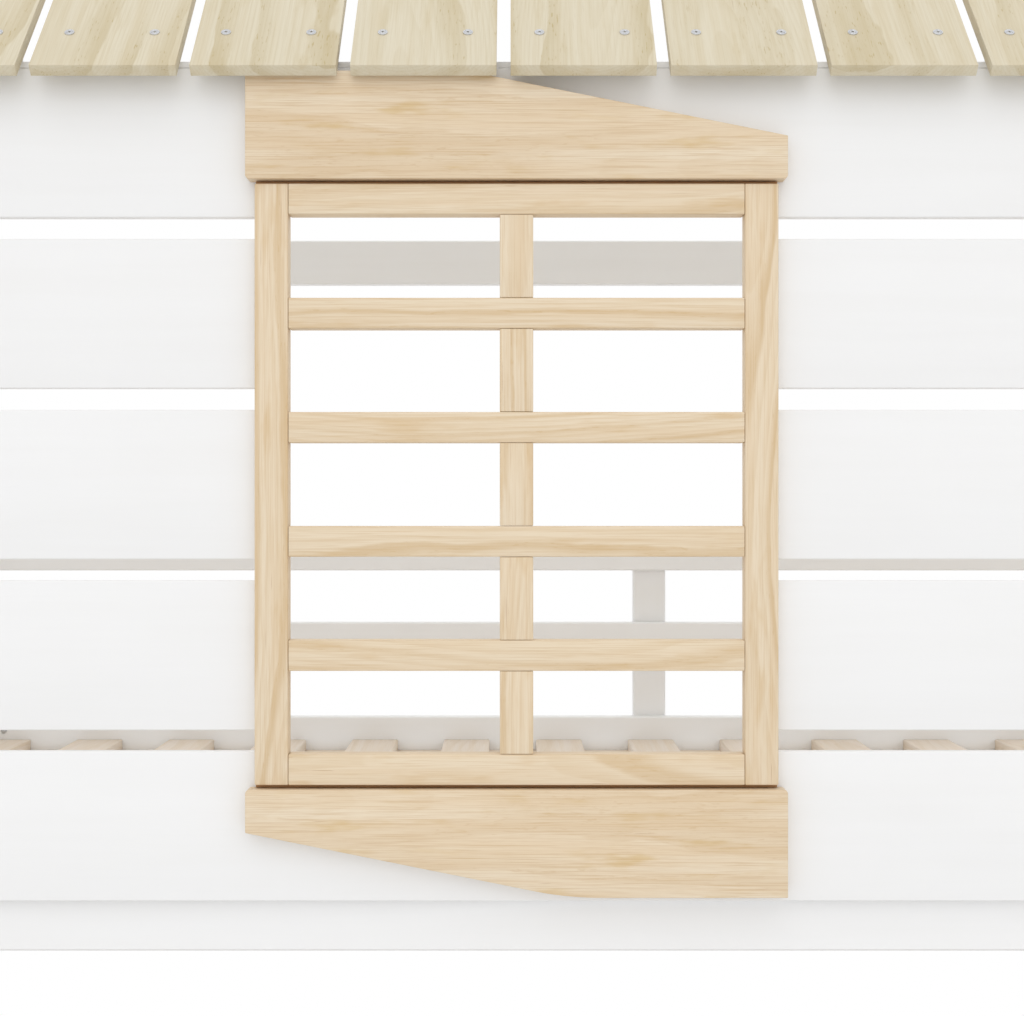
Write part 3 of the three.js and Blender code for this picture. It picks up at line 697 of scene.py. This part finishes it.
def trim_boards():
    low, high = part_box("window_header")
    knee = high.x - TRIM_TAPER
    made = block("header", low, high)
    settle()

    # The cut where the taper starts, then the right end comes down
    bpy.ops.object.mode_set(mode="EDIT")
    bpy.ops.mesh.select_all(action="SELECT")
    bpy.ops.mesh.bisect(plane_co=(knee, 0, 0), plane_no=(1, 0, 0))
    bpy.ops.object.mode_set(mode="OBJECT")

    def top_right_edge(middle, part):
        at_end = all(made.data.vertices[i].co.x > high.x - NEAR for i in part.vertices)
        return at_end and middle.z > high.z - NEAR

    select_only(made, "edges", top_right_edge)
    drop = (high.z - low.z) - TRIM_END_HEIGHT
    bpy.ops.transform.translate(value=(0, 0, -drop))

    # The knee is an arc
    turn = math.atan(drop / TRIM_TAPER)
    tangent = TRIM_KNEE_RADIUS * math.tan(turn / 2)

    def through_board(part):
        ends = [made.data.vertices[i].co for i in part.vertices]
        return abs(ends[0].y - ends[1].y) > BOARD_EDGE

    def knee_edge(middle, part):
        at_knee = abs(middle.x - knee) < NEAR and middle.z > high.z - NEAR
        return at_knee and through_board(part)

    select_only(made, "edges", knee_edge)
    bpy.ops.mesh.bevel(offset=tangent, offset_type="OFFSET", segments=KNEE_STEPS)

    # The corners beside the window are rounded off, and the outer ones only eased
    def outline_corner(middle, part):
        at_end = middle.x < low.x + NEAR or middle.x > high.x - NEAR
        return at_end and through_board(part)

    def window_corner(middle, part):
        return outline_corner(middle, part) and middle.z < low.z + NEAR

    def outer_corner(middle, part):
        return outline_corner(middle, part) and middle.z > low.z + TRIM_CORNER

    for corner, radius in ((outer_corner, TRIM_OUTER_CORNER), (window_corner, TRIM_CORNER)):
        select_only(made, "edges", corner)
        bpy.ops.mesh.bevel(offset=radius, offset_type="OFFSET", segments=CORNER_STEPS)
    bpy.ops.object.mode_set(mode="OBJECT")
    round_edges(made, TRIM_ROUNDING, angle=TRIM_EDGE_ANGLE)

    # The sill is the header turned half a turn about the middle of the window, grain and all
    mark_grain(made, "x", TRIM_SEED)
    sill_low, sill_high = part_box("window_sill")
    pick(made)
    bpy.ops.object.duplicate(linked=False)
    sill = bpy.context.object
    sill.name = "sill"
    centre = (low + high + sill_low + sill_high) / 4
    turn_about(math.pi, "Y", centre)
    settle()
    for trim, node in ((made, "window_header"), (sill, "window_sill")):
        finish_piece(trim, TRIM_PINE, [node])

    # Dark strips of painted shade lie on the wall boards, in the gaps between trim and window
    frame_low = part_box("window_stile_left")[0]
    frame_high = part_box("window_stile_right")[1]
    back = high.y - HOUSING_GAP
    corner = (frame_low.x, back - PAINTED_SHADE_DEPTH, frame_high.z + HOUSING_GAP)
    far = (frame_high.x, back, low.z - HOUSING_GAP)
    names = ["header_packing", "sill_painted_shade"]
    down = (0, 0, sill_high.z - frame_high.z)
    looks = (PAINTED_SHADE_PINE, "warm_pine")
    row(names, corner, far, down, PAINTED_SHADE_ROUNDING, "x", PAINTED_SHADE_SEED, *looks, [(), ()])


# Roof: one board, cut plumb at the ridge and copied along the bed, and its screws
def roof():
    """Makes the boards, and gives the places of their screws."""
    top = slope_length + ROOF_SLAT_THICKNESS
    lift = ROOF_SLAT_LIFT + ROOF_SLAT_THICKNESS / 2
    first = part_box("roof_slat_01")
    x = (first[0].x + first[1].x) / 2
    middle = on_slope(x, (top - ROOF_SLAT_OVERHANG) / 2, lift)
    size = Vector((ROOF_SLAT_WIDTH, top + ROOF_SLAT_OVERHANG, ROOF_SLAT_THICKNESS))
    start()
    bpy.ops.mesh.primitive_cube_add(
        size=1, location=middle, rotation=(ROOF_PITCH, 0, 0), scale=size
    )
    pattern = bpy.context.object
    pattern.name = "roof_board_01"
    settle()
    bpy.ops.object.mode_set(mode="EDIT")
    bpy.ops.mesh.select_all(action="SELECT")
    bpy.ops.mesh.bisect(
        plane_co=(0, ridge_plane, 0), plane_no=(0, 1, 0), use_fill=True, clear_outer=True
    )
    bpy.ops.object.mode_set(mode="OBJECT")
    round_edges(pattern, ROOF_ROUNDING)
    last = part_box(f"roof_slat_{ROOF_SLATS:02d}")
    pitch = (last[0].x - first[0].x) / (ROOF_SLATS - 1)
    boards = [pattern]
    for i in range(1, ROOF_SLATS):
        boards.append(copy_of(pattern, f"roof_board_{i + 1:02d}", (i * pitch, 0, 0)))
    for i, board in enumerate(boards):
        mark_grain(board, "slope", ROOF_SEED + i)
        finish_piece(board, ROOF_PINE, [f"roof_slat_{i + 1:02d}"])

    face = ROOF_SLAT_LIFT + ROOF_SLAT_THICKNESS
    places = []
    for i in range(ROOF_SLATS):
        centre = x + i * pitch
        for up in (SCREW_UP_SLOPE, slope_length - SCREW_FROM_RIDGE):
            places += [on_slope(centre + side * SCREW_SPREAD, up, face) for side in (-1, 1)]
    rafter_x = (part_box("post_front_left")[0].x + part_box("post_front_left")[1].x) / 2
    for side in (-1, 1):
        for share in RAFTER_SCREW_SHARES:
            places.append(on_slope(side * rafter_x, share * slope_length, face))
    return places


def screw_head():
    """A head with a ring groove round a crossed recess, face up."""
    start()
    bpy.ops.mesh.primitive_cylinder_add(
        vertices=TURNED_SIDES, radius=SCREW_RADIUS, depth=SCREW_HEIGHT
    )
    head = bpy.context.object
    head.name = "screw_pattern"
    settle()

    def face_up(middle, part):
        return part.normal.z > 0.9

    select_only(head, "polygons", face_up)
    bpy.ops.mesh.inset(thickness=SCREW_RIM)
    for direction in (-1, 1):
        bpy.ops.mesh.inset(thickness=SCREW_GROOVE)
        bpy.ops.transform.translate(value=(0, 0, direction * SCREW_GROOVE))
    bpy.ops.object.mode_set(mode="OBJECT")
    round_edges(head, SCREW_HEIGHT * TURNED_ROUNDING_SHARE, TURNED_STEPS, TURNED_ANGLE)
    reach = SCREW_RADIUS * CROSS_REACH_SHARE
    width = SCREW_RADIUS * CROSS_WIDTH_SHARE
    for sizes in ((reach, width), (width, reach)):
        deep = SCREW_HEIGHT
        cutter = block("cutter", (-sizes[0], -sizes[1], -deep / 4), (sizes[0], sizes[1], deep))
        settle()
        cut_away(head, cutter)
    return head


def screws(places):
    pattern = screw_head()
    seat = OFF_SLOPE * (SCREW_HEIGHT / 2 - SCREW_SUNK)
    for i, place in enumerate(places):
        turn = random.Random(SCREW_SEED + i).uniform(0, math.pi)
        turns = [(turn, "Z"), (ROOF_PITCH, "X")]
        put_copy(pattern, f"roof_screw_{i + 1:02d}", turns, place + seat)
    bpy.data.objects.remove(pattern)


# Beds: slats let into two ledgers
def slatted_base(bed, seed):
    node = f"{bed}_slat_base"
    low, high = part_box(node)
    looks = (SLAT_PINE, "slat_pine")
    pitch = (high.x - low.x - BED_SLAT_WIDTH) / (BED_SLATS - 1)
    names = [f"{bed}_slat_{i + 1:02d}" for i in range(BED_SLATS)]
    corner = (low.x, low.y, high.z - BED_SLAT_THICKNESS)
    far = (low.x + BED_SLAT_WIDTH, high.y, high.z)
    nodes = [()] * BED_SLATS
    row(names, corner, far, (pitch, 0, 0), SLAT_ROUNDING, "y", seed, *looks, nodes)

    names = [f"{bed}_ledger_front", f"{bed}_ledger_back"]
    top = high.z - BED_SLAT_THICKNESS + LEDGER_LAP
    far = (high.x, low.y + LEDGER_WIDTH, top)
    across = (0, high.y - low.y - LEDGER_WIDTH, 0)
    row(names, low, far, across, SLAT_ROUNDING, "x", seed + BED_SLATS, *looks, [[node], ()])


# Ladder: two sides and four treads
def ladder():
    low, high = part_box("ladder")
    looks = (WHITE_BOARD, "white_paint")
    names = ["ladder_side_left", "ladder_side_right"]
    far = (low.x + LADDER_STILE, high.y, high.z)
    across = (high.x - low.x - LADDER_STILE, 0, 0)
    row(names, low, far, across, LADDER_ROUNDING, "z", LADDER_SEED, *looks, [["ladder"], ()])

    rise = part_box("upper_side_rail_front")[1].z / (LADDER_TREADS + 1)
    names = [f"ladder_tread_{i + 1}" for i in range(LADDER_TREADS)]
    corner = (low.x + LADDER_STILE, low.y + TREAD_SETBACK, rise - TREAD_THICKNESS)
    far = (high.x - LADDER_STILE, high.y - TREAD_SETBACK, rise)
    nodes = [()] * LADDER_TREADS
    row(names, corner, far, (0, 0, rise), LADDER_ROUNDING, "x", TREAD_SEED, *looks, nodes)


# Bolts and barrel nuts: each is turned once, upright, and copied to its places
def turned(name, radius, length, recess):
    """A turned piece with a socket or a slot cut in its upper end."""
    start()
    bpy.ops.mesh.primitive_cylinder_add(vertices=TURNED_SIDES, radius=radius, depth=length)
    made = bpy.context.object
    made.name = name
    settle()
    round_edges(made, radius * TURNED_ROUNDING_SHARE, TURNED_STEPS, TURNED_ANGLE)
    if recess == "socket":
        start()
        bpy.ops.mesh.primitive_cylinder_add(
            vertices=SOCKET_SIDES,
            radius=radius * SOCKET_RADIUS_SHARE,
            depth=length,
            location=(0, 0, length * SOCKET_LEVEL_SHARE),
        )
        cutter = bpy.context.object
    else:
        half = radius * SLOT_WIDTH_SHARE
        foot = length * SLOT_LEVEL_SHARE
        cutter = block("cutter", (-radius * 2, -half, foot), (radius * 2, half, length))
    settle()
    cut_away(made, cutter)
    return made


def put_copy(pattern, name, turns, place):
    """A zinc copy of an upright pattern, turned about the axes in order and put in its place."""
    pick(pattern)
    bpy.ops.object.duplicate(linked=False)
    made = bpy.context.object
    made.name = name
    for angle, axis in turns:
        turn_about(angle, axis, (0, 0, 0))
    bpy.ops.transform.translate(value=place)
    settle()
    finish_piece(made, ZINC)


def outward_turn(outward):
    """The turn that brings the upper end of a pattern to face along X or Y."""
    if abs(outward[0]) > 0.5:
        return [(math.pi / 2 * outward[0], "Y")]
    return [(-math.pi / 2 * outward[1], "X")]


def fasteners():
    """A bolt through each post into each rail, and the barrel nut that it meets in the rail."""
    bolt = turned("bolt_pattern", BOLT_HEAD_RADIUS, BOLT_HEAD_HEIGHT, "socket")
    nut = turned("nut_pattern", NUT_RADIUS, NUT_LENGTH, "slot")
    end_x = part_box("post_front_right")[1].x
    inner_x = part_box("upper_end_rail_right")[0].x
    bolt_sunk = COUNTERBORE - BOLT_HEAD_HEIGHT / 2 - FASTENER_PLAY
    nut_sunk = NUT_RECESS + NUT_LENGTH / 2
    pairs = []

    # Along the bed, into the side rails and the rails on top
    for inward, face, rail_node, top_level in (
        (1, front_face, "upper_side_rail_front", FRONT_TOP_BOLT_LEVEL),
        (-1, back_face, "upper_side_rail_back", BACK_TOP_BOLT_LEVEL),
    ):
        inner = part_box(rail_node)[1 if inward > 0 else 0].y
        for z in SIDE_BOLT_LEVELS + (top_level,):
            for side in (-1, 1):
                bolt_place = Vector((side * (end_x - bolt_sunk), (face + inner) / 2, z))
                nut_place = Vector((side * SIDE_NUT_X, inner - inward * nut_sunk, z))
                pairs.append((bolt_place, (side, 0, 0), nut_place, (0, inward, 0)))

    # Across the bed, into the end rails and the rails on top
    rail_x = (inner_x + end_x) / 2
    nut_from_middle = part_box("upper_end_rail_right")[1].y - ridge_plane - END_NUT_INSET
    for z in END_BOLT_LEVELS:
        for side in (-1, 1):
            for outward, face in ((-1, front_face), (1, back_face)):
                bolt_place = Vector((side * rail_x, face - outward * bolt_sunk, z))
                nut_y = ridge_plane + outward * nut_from_middle
                nut_place = Vector((side * (inner_x + nut_sunk), nut_y, z))
                pairs.append((bolt_place, (0, outward, 0), nut_place, (-side, 0, 0)))

    for i, (bolt_place, bolt_outward, nut_place, nut_outward) in enumerate(pairs):
        put_copy(bolt, f"bolt_{i + 1:02d}", outward_turn(bolt_outward), bolt_place)
        put_copy(nut, f"barrel_nut_{i + 1:02d}", outward_turn(nut_outward), nut_place)
    for pattern in (bolt, nut):
        bpy.data.objects.remove(pattern)


def paint_frame():
    """The nodes that keep their shape get the paint that runs along them."""
    paints = {}
    for source in ("x", "y", "z", "front_slope", "back_slope"):
        paints[source] = white_paint(f"white_{source}", source)
    end_pieces = ["top_rail_left", "top_rail_right"]
    for side in ("left", "right"):
        end_pieces += [f"guard_rail_{side}_low", f"guard_rail_{side}_high"]
    for name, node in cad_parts.items():
        if name.startswith("rafter"):
            source = "front_slope" if "front" in name else "back_slope"
        elif name.startswith("post") or name in ("entry_stile", "guard_stay_back"):
            source = "z"
        elif "end_rail" in name or name in end_pieces:
            source = "y"
        else:
            source = "x"
        if not node.hide_render:
            node.data.materials.clear()
            node.data.materials.append(paints[source])


# Floor, light and camera
def studio():
    start()
    bpy.ops.mesh.primitive_plane_add(size=FLOOR_SIZE, location=(0, 0, FLOOR_LEVEL))
    floor = bpy.context.object
    floor.name = "floor"
    g = Graph("pale_floor")
    x, y, _ = g.split(g.node("ShaderNodeTexCoord", {}, {}, "Object"))
    away = g.maths("SQRT", x * x + y * y)
    g.feed(g.shader.inputs["Base Color"], (0.80, 0.80, 0.80, 1))
    g.feed(g.shader.inputs["Roughness"], 0.9)
    g.feed(g.shader.inputs["Specular IOR Level"], 0.1)
    g.feed(g.shader.inputs["Alpha"], g.step(away, *FLOOR_FADE))
    floor.data.materials.append(g.material)

    world = bpy.data.worlds.new("studio")
    world.use_nodes = True
    bpy.context.scene.world = world
    nodes, links = world.node_tree.nodes, world.node_tree.links
    background = nodes["Background"]
    background.inputs["Color"].default_value = (1, 1, 1, 1)
    place = nodes.new("ShaderNodeTexCoord")
    split = nodes.new("ShaderNodeSeparateXYZ")
    links.new(place.outputs["Generated"], split.inputs[0])
    parts = []
    for axis, ends, strengths in (SKY, FRONT, REAR, BAND):
        size = nodes.new("ShaderNodeMath")
        size.operation = "ABSOLUTE" if axis == "X" else "ADD"
        size.inputs[1].default_value = 0.0
        links.new(split.outputs[axis], size.inputs[0])
        part = nodes.new("ShaderNodeMapRange")
        part.interpolation_type = "SMOOTHSTEP"
        links.new(size.outputs[0], part.inputs["Value"])
        part.inputs["From Min"].default_value, part.inputs["From Max"].default_value = ends
        part.inputs["To Min"].default_value, part.inputs["To Max"].default_value = strengths
        parts.append(part)
    total = parts[0].outputs["Result"]
    for part in parts[1:]:
        added = nodes.new("ShaderNodeMath")
        links.new(total, added.inputs[0])
        links.new(part.outputs["Result"], added.inputs[1])
        total = added.outputs[0]

    # What the camera, metal and glass see is white
    path = nodes.new("ShaderNodeLightPath")
    seen = path.outputs["Is Camera Ray"]
    for ray in ("Is Glossy Ray", "Is Transmission Ray"):
        either = nodes.new("ShaderNodeMath")
        either.operation = "MAXIMUM"
        links.new(seen, either.inputs[0])
        links.new(path.outputs[ray], either.inputs[1])
        seen = either.outputs[0]
    strength = nodes.new("ShaderNodeMix")
    links.new(seen, strength.inputs["Factor"])
    links.new(total, strength.inputs["A"])
    strength.inputs["B"].default_value = 1.0
    links.new(strength.outputs[0], background.inputs["Strength"])

    for name, place, aim, size, energy in LAMPS:
        start()
        bpy.ops.object.light_add(type="AREA", location=place)
        lamp = bpy.context.object
        lamp.name = name
        lamp.data.shape = "RECTANGLE"
        lamp.data.size, lamp.data.size_y = size
        lamp.data.energy = energy
        lamp.visible_camera = False
        lamp.rotation_euler = (Vector(aim) - Vector(place)).to_track_quat("-Z", "Y").to_euler()

    start()
    bpy.ops.object.camera_add(location=CAMERA_PLACE, rotation=(math.pi / 2, 0, 0))
    camera = bpy.context.object
    camera.data.lens = CAMERA_LENS
    camera.data.sensor_width = CAMERA_SENSOR
    camera.data.clip_start = 0.05
    camera.data.clip_end = 100
    bpy.context.scene.camera = camera
    bpy.context.scene.view_settings.view_transform = "Standard"


wall_boards()
window()
trim_boards()
screws(roof())
slatted_base("upper", UPPER_BASE_SEED)
slatted_base("lower", LOWER_BASE_SEED)
ladder()
fasteners()
paint_frame()
studio()
